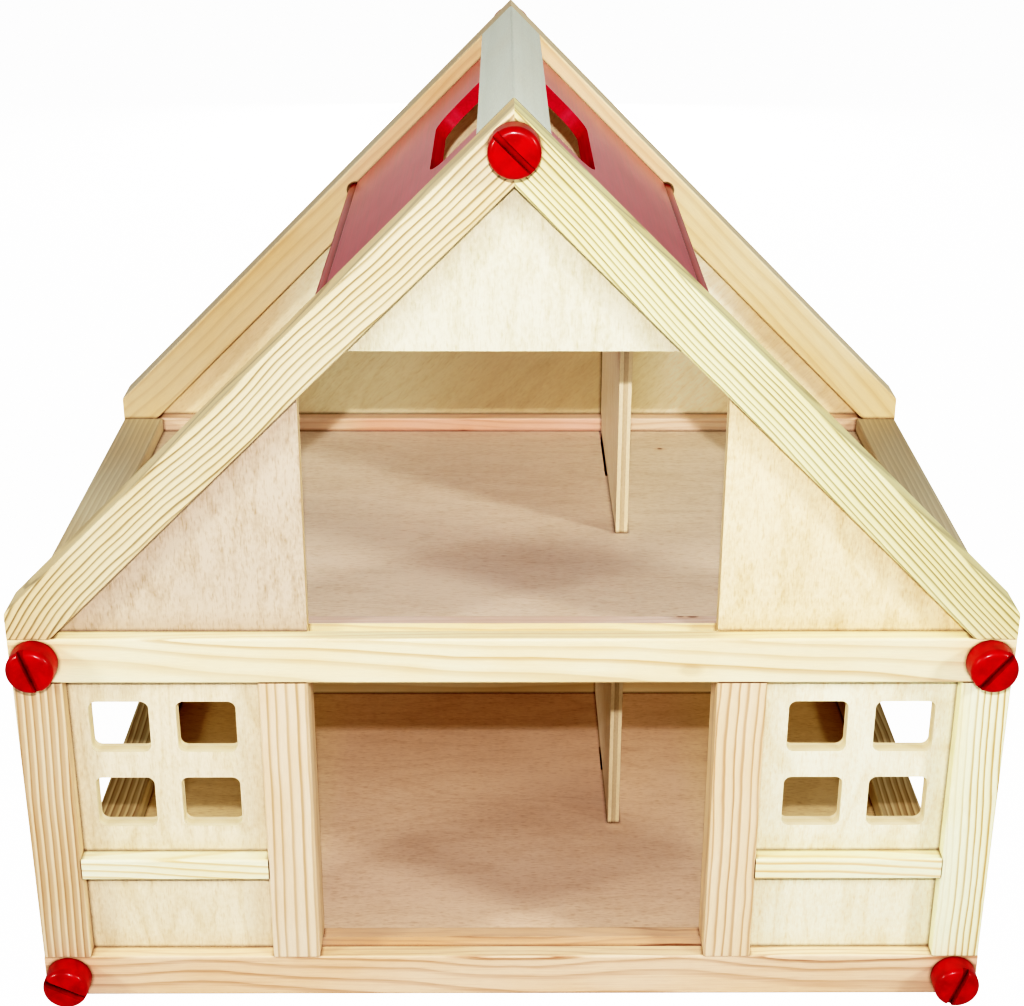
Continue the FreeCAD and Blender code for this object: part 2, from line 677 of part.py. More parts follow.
SCREWS = [
    ("front_ridge_screw", Q.of(0), ridge_z, False, -45.0),
    ("front_left_eave_screw", -screw_x, eave_z, False, -72.0),
    ("front_right_eave_screw", screw_x, eave_z, False, 52.0),
    ("front_left_base_screw", -screw_x, stock / 2, False, -27.0),
    ("front_right_base_screw", screw_x, stock / 2, False, 71.0),
    ("rear_ridge_screw", Q.of(0), ridge_z, True, 20.0),
    ("rear_left_eave_screw", -screw_x, eave_z, True, -52.0),
    ("rear_right_eave_screw", screw_x, eave_z, True, 77.0),
    ("rear_left_base_screw", -screw_x, stock / 2, True, 35.0),
    ("rear_right_base_screw", screw_x, stock / 2, True, -12.0),
]
for label, x, z, rear, angle in SCREWS:
    screw(label, x, z, rear, angle)

# ------------------------------------------------------------------ output
doc.recompute()
for obj in doc.Objects:
    if "Invalid" in obj.State or "Error" in obj.State:
        raise RuntimeError("%s is in state %s" % (obj.Name, obj.State))
os.makedirs("parts", exist_ok=True)
for obj in parts:
    shape = obj.Shape
    if shape.isNull() or not shape.isValid() or len(shape.Solids) != 1:
        raise RuntimeError("bad shape: %s (%d solids)" % (obj.Label, len(shape.Solids)))
    box = shape.BoundBox
    print("%-26s x %7.2f %7.2f  y %7.2f %7.2f  z %7.2f %7.2f  vol %9.1f" % (
        obj.Label, box.XMin, box.XMax, box.YMin, box.YMax, box.ZMin, box.ZMax, shape.Volume))
    shape.exportStep("parts/%s.step" % obj.Label)
print(len(parts), "parts")
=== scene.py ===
import json
import math

import bmesh
import bpy
from mathutils import Matrix, Vector


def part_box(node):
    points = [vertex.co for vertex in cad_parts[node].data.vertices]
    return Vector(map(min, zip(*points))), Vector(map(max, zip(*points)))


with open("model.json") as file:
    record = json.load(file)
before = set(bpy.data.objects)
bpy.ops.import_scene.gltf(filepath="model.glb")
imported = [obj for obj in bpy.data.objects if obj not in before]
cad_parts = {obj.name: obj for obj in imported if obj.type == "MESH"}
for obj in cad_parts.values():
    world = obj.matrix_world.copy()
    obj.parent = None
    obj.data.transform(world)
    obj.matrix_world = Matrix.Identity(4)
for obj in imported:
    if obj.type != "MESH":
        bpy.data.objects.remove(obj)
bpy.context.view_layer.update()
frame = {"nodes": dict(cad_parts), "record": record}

NODES = frame["nodes"]
SLOT = {s["node"]: s["material_slot"] for s in frame["record"]["subparts"]}


def lin(r, g, b):
    """An sRGB colour in 0-255 as linear RGBA."""
    out = []
    for c in (r, g, b):
        c = c / 255.0
        out.append(c / 12.92 if c <= 0.04045 else ((c + 0.055) / 1.055) ** 2.4)
    return (*out, 1.0)


# How far each board's colour departs from the stock, in linear R, G, B: partly the board's own tone, partly painted
# light and shade for how brightly that board is lit.
TONE = {
    "front_left_rafter": (0.852, 0.809, 0.795), "front_right_rafter": (0.903, 0.933, 0.848),
    "front_left_post": (0.824, 0.78, 0.831), "front_right_post": (1.403, 1.182, 1.019),
    "front_left_door_post": (0.917, 0.865, 0.882), "front_right_door_post": (0.936, 0.861, 0.882),
    "front_middle_beam": (1.17, 0.968, 0.875), "front_bottom_beam": (0.919, 0.813, 0.813),
    "rear_left_rafter": (0.935, 0.958, 1.098), "rear_right_rafter": (1.065, 1.047, 1.068),
    "rear_middle_beam": (0.953, 1.03, 1.283), "rear_bottom_beam": (0.9, 0.9, 0.95),
    "rear_left_post": (0.88, 0.86, 0.85), "rear_right_post": (0.88, 0.86, 0.85),
    "left_window_rail": (1.2, 1.15, 1.1), "right_window_rail": (1.2, 1.15, 1.1),
    "left_window_panel": (1.019, 0.992, 0.982), "right_window_panel": (1.215, 1.122, 1.121),
    "left_gable_panel": (0.784, 0.757, 0.737), "right_gable_panel": (1.029, 0.95, 0.834),
    "gable_peak_panel": (0.915, 0.915, 0.808), "rear_gable_panel": (1.149, 1.328, 1.76),
    "rear_wall_panel": (1.0, 1.06, 1.12), "partition_wall": (0.955, 1.049, 1.316),
    "upper_floor": (1.064, 1.19, 1.465), "ground_floor": (1.231, 1.456, 2.084),
    "left_eave_beam": (1.178, 1.198, 1.267), "right_eave_beam": (1.009, 1.035, 1.094),
    "ridge_beam": (1.266, 1.304, 1.402),
}


def toned(node, colour):
    c = lin(*colour)
    return (*(min(v * t, 0.96) for v, t in zip(c, TONE.get(node, (1.0, 1.0, 1.0)))), 1.0)


X, Y, Z = Vector((1, 0, 0)), Vector((0, 1, 0)), Vector((0, 0, 1))


# ------------------------------------------------------------- node helpers
class Tree:
    def __init__(self, name):
        self.mat = bpy.data.materials.new(name)
        self.mat.use_nodes = True
        self.t = self.mat.node_tree
        self.t.nodes.clear()
        self.out = self.t.nodes.new("ShaderNodeOutputMaterial")
        self.bsdf = self.t.nodes.new("ShaderNodeBsdfPrincipled")
        self.t.links.new(self.bsdf.outputs[0], self.out.inputs[0])
        self.tc = self.t.nodes.new("ShaderNodeTexCoord")

    def put(self, value, socket):
        if isinstance(value, bpy.types.NodeSocket):
            self.t.links.new(value, socket)
        else:
            socket.default_value = value

    def math(self, op, a, b=None, c=None, clamp=False):
        n = self.t.nodes.new("ShaderNodeMath")
        n.operation, n.use_clamp = op, clamp
        for v, s in zip((a, b, c), n.inputs):
            if v is not None:
                self.put(v, s)
        return n.outputs[0]

    def dot(self, v, const):
        n = self.t.nodes.new("ShaderNodeVectorMath")
        n.operation = "DOT_PRODUCT"
        self.put(v, n.inputs[0])
        n.inputs[1].default_value = const
        return n.outputs["Value"]

    def join(self, x, y, z):
        n = self.t.nodes.new("ShaderNodeCombineXYZ")
        for v, s in zip((x, y, z), n.inputs):
            self.put(v, s)
        return n.outputs[0]

    def noise(self, v, scale=1.0, detail=2.0, rough=0.5, dims="3D", w=None):
        n = self.t.nodes.new("ShaderNodeTexNoise")
        n.noise_dimensions = dims
        if v is not None:
            self.put(v, n.inputs["Vector"])
        if w is not None:
            self.put(w, n.inputs["W"])
        n.inputs["Scale"].default_value = scale
        n.inputs["Detail"].default_value = detail
        n.inputs["Roughness"].default_value = rough
        return n.outputs["Fac"] if "Fac" in n.outputs else n.outputs[0]

    def white(self, w):
        n = self.t.nodes.new("ShaderNodeTexWhiteNoise")
        n.noise_dimensions = "1D"
        self.put(w, n.inputs["W"])
        return n.outputs["Value"]

    def ramp(self, fac, stops, interp="LINEAR"):
        n = self.t.nodes.new("ShaderNodeValToRGB")
        n.color_ramp.interpolation = interp
        e = n.color_ramp.elements
        while len(e) < len(stops):
            e.new(0.5)
        for el, (pos, col) in zip(e, stops):
            el.position = pos
            el.color = col if not isinstance(col, (int, float)) else (col, col, col, 1.0)
        self.put(fac, n.inputs[0])
        return n.outputs[0]

    def span(self, v, a0, a1, b0, b1):
        n = self.t.nodes.new("ShaderNodeMapRange")
        n.clamp = True
        self.put(v, n.inputs[0])
        for s, x in zip(n.inputs[1:5], (a0, a1, b0, b1)):
            s.default_value = x
        return n.outputs[0]

    def mix(self, fac, a, b, blend="MIX"):
        n = self.t.nodes.new("ShaderNodeMix")
        n.data_type, n.blend_type = "RGBA", blend
        self.put(fac, n.inputs[0])
        self.put(a, n.inputs[6])
        self.put(b, n.inputs[7])
        return n.outputs[2]

    def grey(self, v):
        """A factor as a colour, for multiplying."""
        return self.join(v, v, v)

    def bump(self, height, distance, strength=1.0, normal=None):
        n = self.t.nodes.new("ShaderNodeBump")
        n.inputs["Distance"].default_value = distance
        n.inputs["Strength"].default_value = strength
        self.put(height, n.inputs["Height"])
        if normal is not None:
            self.put(normal, n.inputs["Normal"])
        return n.outputs[0]

    def seam(self, colour, reach=0.0016, amount=0.85, shade=(0.24, 0.165, 0.11, 1.0)):
        """The dark line where another piece meets this one: dust, and painted shadow in the gap."""
        n = self.t.nodes.new("ShaderNodeAmbientOcclusion")
        n.samples = 4
        n.inputs["Distance"].default_value = reach
        line = self.span(n.outputs["AO"], 0.52, 0.89, amount, 0.0)
        return self.mix(line, colour, self.mix(1.0, colour, shade, "MULTIPLY"))

    def spots(self, colour, u, a, knots):
        """Small knots: (along, across, radius, depth) in mm from the piece's middle."""
        for ku, ka, kr, depth in knots:
            du = self.math("MULTIPLY", self.math("SUBTRACT", u, ku), 0.55 / kr)
            da = self.math("DIVIDE", self.math("SUBTRACT", a, ka), kr)
            d = self.math("SQRT", self.math("ADD", self.math("MULTIPLY", du, du), self.math("MULTIPLY", da, da)))
            wide = self.math("MULTIPLY", self.span(d, 0.6, 2.6, 1.0, 0.0), 0.45 * depth)
            colour = self.mix(wide, colour, self.mix(1.0, colour, (0.80, 0.56, 0.38, 1.0), "MULTIPLY"))
            colour = self.mix(self.math("MULTIPLY", self.span(d, 0.5, 1.0, 1.0, 0.0), depth), colour, lin(112, 58, 26))
        return colour

    def finish(self, colour, rough, normal, specular=0.5, coat=0.0, coat_rough=0.2, seam=0.85):
        b = self.bsdf
        if seam:
            colour = self.seam(colour, amount=seam)
        self.put(colour, b.inputs["Base Color"])
        self.put(rough, b.inputs["Roughness"])
        if normal is not None:
            self.put(normal, b.inputs["Normal"])
        b.inputs["Specular IOR Level"].default_value = specular
        if coat:
            b.inputs["Coat Weight"].default_value = coat
            b.inputs["Coat Roughness"].default_value = coat_rough
        return self.mat


def frame_of(along, front):
    """Unit vectors: along the grain, across it in the main face, and out of the main face."""
    L = Vector(along).normalized()
    F = Vector(front)
    F = (F - L * F.dot(L)).normalized()
    return L, F.cross(L).normalized(), F


# ------------------------------------------------------------------- pine
def pine(name, node, along, front, pith=(70.0, 6.0), pitch=3.6, slope=(0.0, 0.0), wander=5.0,
         wobble=0.7, strength=0.75, light=(247, 233, 200), dark=(205, 171, 122), seed=0.0,
         profile="late", warm=0.35, coat=0.10, uneven=0.6, hook=None, side=None, knots=(), streaky=0.30, fade=None, top_shade=None, top_knots=(), painted_shading=()):
    """Planed pine. Growth rings are cylinders round a wandering pith, so that each face shows what a saw would.

    pith is the distance of the pith across the main face and behind it, pitch the ring spacing, in mm.
    slope tilts the pith against the piece, wander bends it slowly along the piece, and hook, (end, mm, reach),
    bends it more towards one end. side multiplies the colour of the faces other than the main one, painted
    light and shade for how those faces take the light, and fade, (across0, across1, weight0, weight1), weakens
    the rings on one side of the board. top multiplies the colour of the upper face behind the groove with
    painted shade, darker and pinker where that face lies in shade.
    """
    T = Tree(name)
    lo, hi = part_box(node)
    c = (lo + hi) / 2
    L, A, F = frame_of(along, front)
    P = T.tc.outputs["Object"]
    u = T.math("SUBTRACT", T.dot(P, L * 1000), c.dot(L) * 1000)
    a = T.math("SUBTRACT", T.dot(P, A * 1000), c.dot(A) * 1000)
    b = T.math("SUBTRACT", T.dot(P, F * 1000), c.dot(F) * 1000)
    slow = T.join(T.math("MULTIPLY_ADD", u, 0.0085, seed * 3.7), T.math("MULTIPLY", a, 0.010), T.math("MULTIPLY_ADD", b, 0.012, seed))
    w1 = T.math("MULTIPLY", T.math("SUBTRACT", T.noise(slow, 1.0, 1.0), 0.5), 2 * wander)
    mid = T.join(T.math("MULTIPLY_ADD", u, 0.034, seed * 1.3), T.math("MULTIPLY", a, 0.10), T.math("MULTIPLY_ADD", b, 0.10, seed * 2.1))
    w2 = T.math("MULTIPLY", T.math("SUBTRACT", T.noise(mid, 1.0, 2.0), 0.5), 2 * wobble)
    ra = T.math("ADD", T.math("MULTIPLY_ADD", u, slope[0], pith[0]), T.math("ADD", a, T.math("ADD", w1, w2)))
    if hook is not None:
        end, amount, reach = hook
        far = (Vector((hi.x - lo.x, hi.y - lo.y, hi.z - lo.z)) * 500).dot(Vector((abs(L.x), abs(L.y), abs(L.z))))
        bend = T.span(T.math("MULTIPLY", u, float(end)), far - reach, far, 0.0, 1.0)
        ra = T.math("ADD", ra, T.math("MULTIPLY", T.math("POWER", bend, 1.8), amount))
    rb = T.math("ADD", T.math("MULTIPLY_ADD", u, slope[1], pith[1]), b)
    r = T.math("SQRT", T.math("ADD", T.math("MULTIPLY", ra, ra), T.math("MULTIPLY", rb, rb)))
    shift = T.math("MULTIPLY", T.math("SUBTRACT", T.noise(None, 0.15, 1.0, dims="1D", w=T.math("ADD", r, seed * 17.0)), 0.5), uneven)
    ring = T.math("ADD", T.math("DIVIDE", r, pitch), shift)
    f = T.math("FRACT", ring)
    each = T.white(T.math("ADD", T.math("FLOOR", ring), seed))
    if profile == "late":      # thin dark latewood on a pale ground
        late = T.ramp(f, [(0.0, 0.06), (0.06, 0.0), (0.46, 0.05), (0.64, 0.26), (0.78, 0.95), (0.90, 1.0), (0.97, 0.35), (1.0, 0.06)])
        late = T.math("MULTIPLY", late, T.span(each, 0, 1, 0.75, 1.0))
    elif profile == "broad":   # broad tan latewood between thin pale lines
        late = T.ramp(f, [(0.0, 0.10), (0.12, 0.0), (0.26, 0.06), (0.40, 0.55), (0.70, 0.66), (0.86, 1.0), (0.95, 0.9), (1.0, 0.15)])
        late = T.math("MULTIPLY", late, T.span(each, 0, 1, 0.78, 1.0))
    else:                      # soft, for a plain-sawn face
        late = T.ramp(f, [(0.0, 0.20), (0.2, 0.0), (0.55, 0.1), (0.80, 0.75), (0.92, 1.0), (1.0, 0.22)], "EASE")
        late = T.math("MULTIPLY", late, T.span(each, 0, 1, 0.25, 1.0))
    streak = T.noise(T.join(T.math("MULTIPLY_ADD", u, 0.022, seed), T.math("MULTIPLY", a, 1.1), T.math("MULTIPLY", b, 1.1)), 1.0, 3.0, 0.6)
    fibre = T.noise(T.join(T.math("MULTIPLY_ADD", u, 0.16, seed), T.math("MULTIPLY", a, 3.6), T.math("MULTIPLY", b, 3.6)), 1.0, 2.0, 0.6)
    cloud = T.noise(T.join(T.math("MULTIPLY_ADD", u, 0.014, seed * 5.1), T.math("MULTIPLY", a, 0.055), T.math("MULTIPLY", b, 0.055)), 1.0, 2.0)

    pale = toned(node, light)
    tan = toned(node, dark)
    ground = T.mix(T.span(cloud, 0.38, 0.66, 0.0, warm), pale, toned(node, (light[0] - 8, light[1] - 28, light[2] - 44)))
    N = T.tc.outputs["Normal"]
    main = T.span(T.dot(N, F), 0.5, 0.8, 0.0, 1.0)
    fac = T.math("MULTIPLY", late, T.math("MULTIPLY", T.span(cloud, 0.3, 0.7, 0.78, 1.0), strength))
    fac = T.math("MULTIPLY", fac, T.span(main, 0.0, 1.0, 0.55, 1.0))
    fac = T.math("MULTIPLY", fac, T.span(fibre, 0.28, 0.72, 0.82, 1.12))
    if fade is not None:
        fac = T.math("MULTIPLY", fac, T.span(a, *fade))
    fac = T.math("ADD", fac, T.math("MULTIPLY", T.math("SUBTRACT", streak, 0.5), streaky), clamp=True)
    col = T.mix(fac, ground, tan)
    shade = T.math("MULTIPLY", T.span(fibre, 0.25, 0.75, 0.93, 1.05), T.span(streak, 0.25, 0.75, 0.96, 1.03))
    col = T.mix(1.0, col, T.grey(shade), "MULTIPLY")
    for axis, x0, x1, tint in painted_shading:    # painted light and shade: lighter and darker patches along the main face
        here = T.math("MULTIPLY", T.span(T.dot(P, axis * 1000), x0, x1, 0.0, 1.0), main)
        col = T.mix(here, col, T.mix(1.0, col, (*tint, 1.0), "MULTIPLY"))
    if knots:
        col = T.spots(col, u, a, knots)
    # painted light and shade: the faces other than the main one made lighter or darker for how they take the light
    if side is not None:
        col = T.mix(main, T.mix(1.0, col, (*side, 1.0), "MULTIPLY"), col)
    # painted shade: the upper face behind the groove darkened and pinked where it lies in shade
    if top_shade is not None:
        up = T.math("MULTIPLY", T.span(T.dot(N, Z), 0.7, 0.9, 0.0, 1.0), T.span(b, -3.4, -3.0, 1.0, 0.0))
        shaded_top = T.mix(1.0, col, (*top_shade, 1.0), "MULTIPLY")
        col = T.mix(up, col, T.spots(shaded_top, u, b, top_knots) if top_knots else shaded_top)
    # end grain is darker and warmer
    end = T.span(T.math("ABSOLUTE", T.dot(N, L)), 0.75, 0.95, 0.0, 1.0)
    col = T.mix(T.math("MULTIPLY", end, 0.55), col, T.mix(1.0, col, (0.80, 0.62, 0.42, 1.0), "MULTIPLY"))
    rough = T.math("MULTIPLY_ADD", fibre, 0.16, T.span(late, 0, 1, 0.46, 0.38))
    height = T.math("ADD", T.math("MULTIPLY", late, 0.5), T.math("ADD", T.math("MULTIPLY", streak, 0.8), T.math("MULTIPLY", fibre, 0.6)))
    return T.finish(col, rough, T.bump(height, 0.00012, 0.55), 0.35, coat, 0.3)


# ---------------------------------------------------------------- plywood
def ply(name, node, along, out, light=(238, 226, 205), dark=(214, 190, 160), seed=0.0, figure=0.35,
        fleck=0.5, plies=3, thick=6.5, coat=0.05, edge_light=(246, 232, 204), edge_dark=(214, 188, 150), blotch=0.5,
        mottled=0.55, knots=(), painted_shading=(), outside=None, recess_shade=0.0):
    """Birch plywood: a rotary-cut face with short flecks, and layered edges."""
    T = Tree(name)
    lo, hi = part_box(node)
    c = (lo + hi) / 2
    L, A, F = frame_of(along, out)
    P = T.tc.outputs["Object"]
    u = T.math("SUBTRACT", T.dot(P, L * 1000), c.dot(L) * 1000)
    a = T.math("SUBTRACT", T.dot(P, A * 1000), c.dot(A) * 1000)
    b = T.math("SUBTRACT", T.dot(P, F * 1000), c.dot(F) * 1000)
    # rotary-cut veneer: contours of a slow field, drawn out along the grain
    field = T.noise(T.join(T.math("MULTIPLY_ADD", u, 0.0042, seed * 2.3), T.math("MULTIPLY_ADD", a, 0.021, seed), T.math("MULTIPLY", b, 0.01)), 1.0, 2.0, 0.45)
    bands = T.math("FRACT", T.math("MULTIPLY", field, 15.0))
    bands = T.ramp(bands, [(0.0, 0.35), (0.15, 0.0), (0.6, 0.3), (0.88, 1.0), (1.0, 0.35)], "EASE")
    mottle = T.noise(T.join(T.math("MULTIPLY_ADD", u, 0.07, seed), T.math("MULTIPLY", a, 0.22), T.math("MULTIPLY", b, 0.2)), 1.0, 3.0, 0.6)
    cloud = T.noise(T.join(T.math("MULTIPLY_ADD", u, 0.010, seed * 4.0), T.math("MULTIPLY", a, 0.017), T.math("MULTIPLY", b, 0.02)), 1.0, 2.0)
    fibre = T.noise(T.join(T.math("MULTIPLY_ADD", u, 0.20, seed), T.math("MULTIPLY", a, 3.4), T.math("MULTIPLY", b, 3.4)), 1.0, 3.0, 0.65)
    dash = T.noise(T.join(T.math("MULTIPLY_ADD", u, 0.24, seed * 1.7), T.math("MULTIPLY", a, 1.5), T.math("MULTIPLY", b, 1.5)), 1.0, 1.0, 0.5)
    dash = T.span(dash, 0.54, 0.70, 0.0, fleck)
    speck = T.noise(T.join(T.math("MULTIPLY_ADD", u, 0.40, seed), T.math("MULTIPLY", a, 0.62), T.math("MULTIPLY", b, 0.6)), 1.0, 2.0, 0.6)
    fac = T.math("ADD", T.math("MULTIPLY", bands, figure), T.math("MULTIPLY", T.math("SUBTRACT", mottle, 0.45), mottled))
    fac = T.math("ADD", fac, T.math("MULTIPLY", T.math("SUBTRACT", speck, 0.5), mottled))
    fac = T.math("ADD", fac, T.math("MULTIPLY", T.math("SUBTRACT", cloud, 0.45), blotch))
    fac = T.math("ADD", fac, T.math("MULTIPLY", dash, 0.55), clamp=True)
    col = T.mix(fac, toned(node, light), toned(node, dark))
    col = T.mix(1.0, col, T.grey(T.span(fibre, 0.25, 0.75, 0.955, 1.03)), "MULTIPLY")
    for axis, x0, x1, shade in painted_shading:   # painted light and shade: slow lighter and darker patches across the board
        v = T.dot(P, axis * 1000)
        col = T.mix(T.span(v, x0, x1, 0.0, 1.0), col, T.mix(1.0, col, (*shade, 1.0), "MULTIPLY"))
    if outside is not None:    # the other face is another veneer
        back = T.span(T.dot(T.tc.outputs["Normal"], F), -0.6, -0.5, 1.0, 0.0)
        col = T.mix(back, col, T.mix(fac, lin(*outside[0]), lin(*outside[1])))
    if knots:
        col = T.spots(col, u, a, knots)
    if recess_shade:                 # painted shade: greyed where it lies deep between the frame's bars
        ao = T.t.nodes.new("ShaderNodeAmbientOcclusion")
        ao.samples = 4
        ao.inputs["Distance"].default_value = 0.010
        col = T.mix(T.span(ao.outputs["AO"], 0.70, 0.88, recess_shade, 0.0), col, T.mix(1.0, col, (0.66, 0.62, 0.64, 1.0), "MULTIPLY"))
    # layered edge
    N = T.tc.outputs["Normal"]
    face = T.span(T.math("ABSOLUTE", T.dot(N, F)), 0.45, 0.60, 0.0, 1.0)
    layer = T.math("FRACT", T.math("MULTIPLY", T.math("ADD", T.math("MULTIPLY_ADD", b, 1.0, thick / 2), T.math("MULTIPLY", T.math("SUBTRACT", mottle, 0.5), 0.35)), plies / thick / 2.0))
    layer = T.ramp(layer, [(0.0, 0.85), (0.03, 0.15), (0.46, 0.10), (0.50, 0.85), (0.54, 0.62), (0.96, 0.50), (1.0, 0.9)])
    grit = T.noise(T.join(T.math("MULTIPLY", u, 0.9), T.math("MULTIPLY", a, 0.9), T.math("MULTIPLY", b, 2.5)), 1.0, 3.0, 0.6)
    edge = T.mix(T.math("ADD", layer, T.math("MULTIPLY", T.math("SUBTRACT", grit, 0.5), 0.5), clamp=True), lin(*edge_light), lin(*edge_dark))
    col = T.mix(face, edge, col)
    rough = T.math("MULTIPLY_ADD", mottle, 0.18, 0.42)
    height = T.math("ADD", T.math("MULTIPLY", fibre, 0.9), T.math("MULTIPLY", dash, -0.8))
    return T.finish(col, rough, T.bump(height, 0.00010, 0.5), 0.35, coat, 0.3)


# ----------------------------------------------------------- red lacquer
def lacquer(name, node, along, out, seed=0.0, body=(172, 8, 12), deep=(120, 2, 4), rough0=0.30, grain=1.0, coat=0.6, coat_rough=0.22, faces_only=False):
    T = Tree(name)
    lo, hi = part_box(node)
    c = (lo + hi) / 2
    L, A, F = frame_of(along, out)
    P = T.tc.outputs["Object"]
    u = T.math("SUBTRACT", T.dot(P, L * 1000), c.dot(L) * 1000)
    a = T.math("SUBTRACT", T.dot(P, A * 1000), c.dot(A) * 1000)
    b = T.math("SUBTRACT", T.dot(P, F * 1000), c.dot(F) * 1000)
    streak = T.noise(T.join(T.math("MULTIPLY_ADD", u, 0.018, seed), T.math("MULTIPLY", a, 0.9), T.math("MULTIPLY", b, 0.9)), 1.0, 3.0, 0.6)
    fibre = T.noise(T.join(T.math("MULTIPLY_ADD", u, 0.10, seed), T.math("MULTIPLY", a, 3.2), T.math("MULTIPLY", b, 3.2)), 1.0, 2.0, 0.6)
    cloud = T.noise(T.join(T.math("MULTIPLY_ADD", u, 0.03, seed), T.math("MULTIPLY", a, 0.05), T.math("MULTIPLY", b, 0.05)), 1.0, 2.0)
    fac = T.math("ADD", T.span(streak, 0.35, 0.68, 0.0, 0.7 * grain), T.math("MULTIPLY", T.math("SUBTRACT", cloud, 0.5), 0.8), clamp=True)
    col = T.mix(fac, lin(*body), lin(*deep))
    col = T.mix(1.0, col, T.grey(T.span(fibre, 0.25, 0.75, 0.93, 1.05)), "MULTIPLY")
    rough = T.math("ADD", T.math("MULTIPLY", fibre, 0.10), T.math("MULTIPLY_ADD", cloud, 0.10, rough0 - 0.05))
    height = T.math("ADD", T.math("MULTIPLY", streak, 1.0), T.math("MULTIPLY", fibre, 0.6))
    mat = T.finish(col, rough, T.bump(height, 0.00010, 0.35 * grain), 0.5, coat, coat_rough)
    if faces_only:             # the sawn edges are stained but not polished
        main = T.span(T.math("ABSOLUTE", T.dot(T.tc.outputs["Normal"], F)), 0.7, 0.9, 0.0, coat)
        T.put(main, T.bsdf.inputs["Coat Weight"])
    return mat


def screw_red(name, node, seed):
    """Moulded red: smooth, slightly uneven."""
    T = Tree(name)
    P = T.tc.outputs["Object"]
    mm = T.t.nodes.new("ShaderNodeVectorMath")
    mm.operation = "SCALE"
    T.put(P, mm.inputs[0])
    mm.inputs["Scale"].default_value = 1000.0
    V = T.t.nodes.new("ShaderNodeVectorMath")
    V.operation = "ADD"
    T.put(mm.outputs[0], V.inputs[0])
    V.inputs[1].default_value = (seed * 31.0, seed * 7.0, seed * 13.0)
    V = V.outputs[0]
    soft = T.noise(V, 0.16, 2.0, 0.5)
    fine = T.noise(V, 0.9, 3.0, 0.6)
    dust = T.span(T.noise(V, 2.2, 2.0, 0.5), 0.66, 0.80, 0.0, 0.25)
    col = T.mix(T.span(soft, 0.35, 0.65, 0.0, 1.0), lin(192, 16, 22), lin(158, 8, 12))
    col = T.mix(T.math("MULTIPLY", T.span(fine, 0.55, 0.75, 0.0, 1.0), 0.30), col, lin(214, 46, 50))
    col = T.mix(dust, col, lin(220, 90, 88))
    rough = T.math("MULTIPLY_ADD", fine, 0.20, 0.28)
    return T.finish(col, rough, T.bump(T.math("ADD", T.math("MULTIPLY", soft, 2.0), fine), 0.00012, 0.35), 0.45, 0.25, 0.16)


# --------------------------------------------------------------- assigning
def give(node, mat):
    o = NODES[node]
    o.data.materials.clear()
    o.data.materials.append(mat)


FRONT = -Y
up_left = Vector((1, 0, 1))     # along the left rafters, towards the apex
up_right = Vector((-1, 0, 1))   # along the right rafters, towards the apex

cream = (250, 236, 202)
# front frame
give("front_left_rafter", pine("pine_front_left_rafter", "front_left_rafter", up_left, FRONT, pith=(58, 10), pitch=2.55, slope=(0.020, 0.0), wander=7, wobble=0.9, strength=0.95, light=(249, 238, 206), dark=(142, 122, 82), seed=1.0, hook=(-1, 9.0, 60.0), side=(1.10, 1.10, 1.08)))
give("front_right_rafter", pine("pine_front_right_rafter", "front_right_rafter", up_right, FRONT, pith=(-64, 8), pitch=2.15, slope=(0.040, 0.0), wander=2.5, wobble=0.4, strength=0.95, light=(249, 240, 208), dark=(142, 124, 82), seed=2.0, fade=(-8.5, -5.5, 0.25, 1.0), side=(1.10, 1.10, 1.08)))
give("front_left_post", pine("pine_front_left_post", "front_left_post", Z, FRONT, pith=(75, 9), pitch=3.0, slope=(0.018, 0.0), wander=2.5, wobble=0.35, strength=0.98, light=(252, 238, 204), dark=(184, 142, 98), seed=3.0, profile="broad", uneven=0.35))
give("front_right_post", pine("pine_front_right_post", "front_right_post", Z, FRONT, pith=(-80, 7), pitch=2.7, slope=(-0.02, 0.0), wander=2.5, wobble=0.7, strength=1.0, light=(253, 244, 218), dark=(156, 128, 80), seed=4.0, fade=(2.0, 5.5, 1.0, 0.25)))
give("front_left_door_post", pine("pine_front_left_door_post", "front_left_door_post", Z, FRONT, pith=(60, 8), pitch=3.9, slope=(0.006, 0.0), wander=2.5, wobble=0.5, strength=0.78, light=(248, 234, 208), dark=(186, 152, 108), seed=5.0))
give("front_right_door_post", pine("pine_front_right_door_post", "front_right_door_post", Z, FRONT, pith=(-66, 8), pitch=3.4, slope=(0.010, 0.0), wander=4, wobble=0.9, strength=0.82, light=(248, 234, 204), dark=(182, 142, 104), seed=6.0))
give("front_middle_beam", pine("pine_front_middle_beam", "front_middle_beam", X, FRONT, pith=(14, 30), pitch=2.3, slope=(0.010, 0.015), wander=6, strength=0.74, light=(253, 244, 220), dark=(176, 134, 88), seed=7.0, profile="soft", knots=((71, -4, 3.4, 0.16),), side=(1.06, 1.08, 1.08), top_shade=(0.76, 0.73, 0.93), top_knots=((73, -9.0, 1.5, 0.55), (68, -9.0, 1.0, 0.5))))
give("front_bottom_beam", pine("pine_front_bottom_beam", "front_bottom_beam", X, FRONT, pith=(15, 24), pitch=2.4, slope=(-0.014, 0.02), wander=8, wobble=1.1, strength=0.95, light=(248, 232, 204), dark=(156, 100, 56), seed=8.0, profile="soft", streaky=0.8, side=(1.14, 1.22, 1.22), top_shade=(0.80, 0.75, 0.78)))
